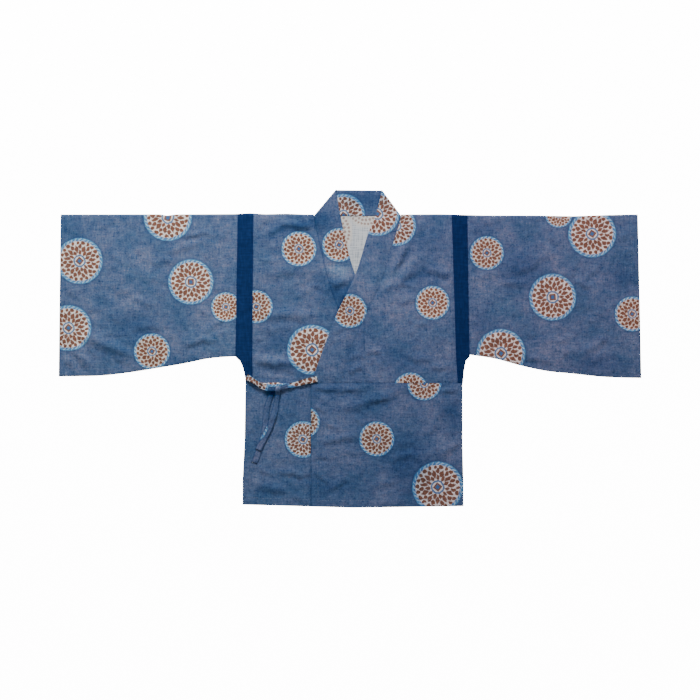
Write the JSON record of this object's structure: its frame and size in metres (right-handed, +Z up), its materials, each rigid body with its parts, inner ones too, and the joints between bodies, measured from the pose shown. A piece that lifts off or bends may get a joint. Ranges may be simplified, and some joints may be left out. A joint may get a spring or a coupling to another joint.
{
  "type": "kimono-style wrap jacket, laid flat",
  "caption": "Short kimono-cut wrap jacket of printed cloth with a crossed band collar, wide sleeves, navy armhole strips and a side tie, laid flat.",
  "frame": {"origin": "on the surface it lies on, under the middle of the jacket's box", "axes": "+X from the wearer's right cuff to the left cuff, +Y from the hem to the neck, +Z up from the surface"},
  "size_m": [1.334, 0.729, 0.0115],
  "materials": {
    "printed_cloth": "matte printed cotton and linen, slubby plain weave",
    "navy_cloth": "matte plain navy cotton"
  },
  "bodies": {
    "root": {"body_right": "printed_cloth", "body_left": "printed_cloth", "overlap_right": "printed_cloth", "overlap_left": "printed_cloth", "collar": "printed_cloth", "sleeve_right": "printed_cloth", "sleeve_left": "printed_cloth", "armhole_band_right": "navy_cloth", "armhole_band_left": "navy_cloth", "peplum_back": "printed_cloth", "peplum_right": "printed_cloth", "peplum_left": "printed_cloth", "tie_side": "printed_cloth", "tie_front": "printed_cloth", "tie_knot": "printed_cloth", "tie_tail_long": "printed_cloth", "tie_tail_short": "printed_cloth"}
  },
  "joints": []
}
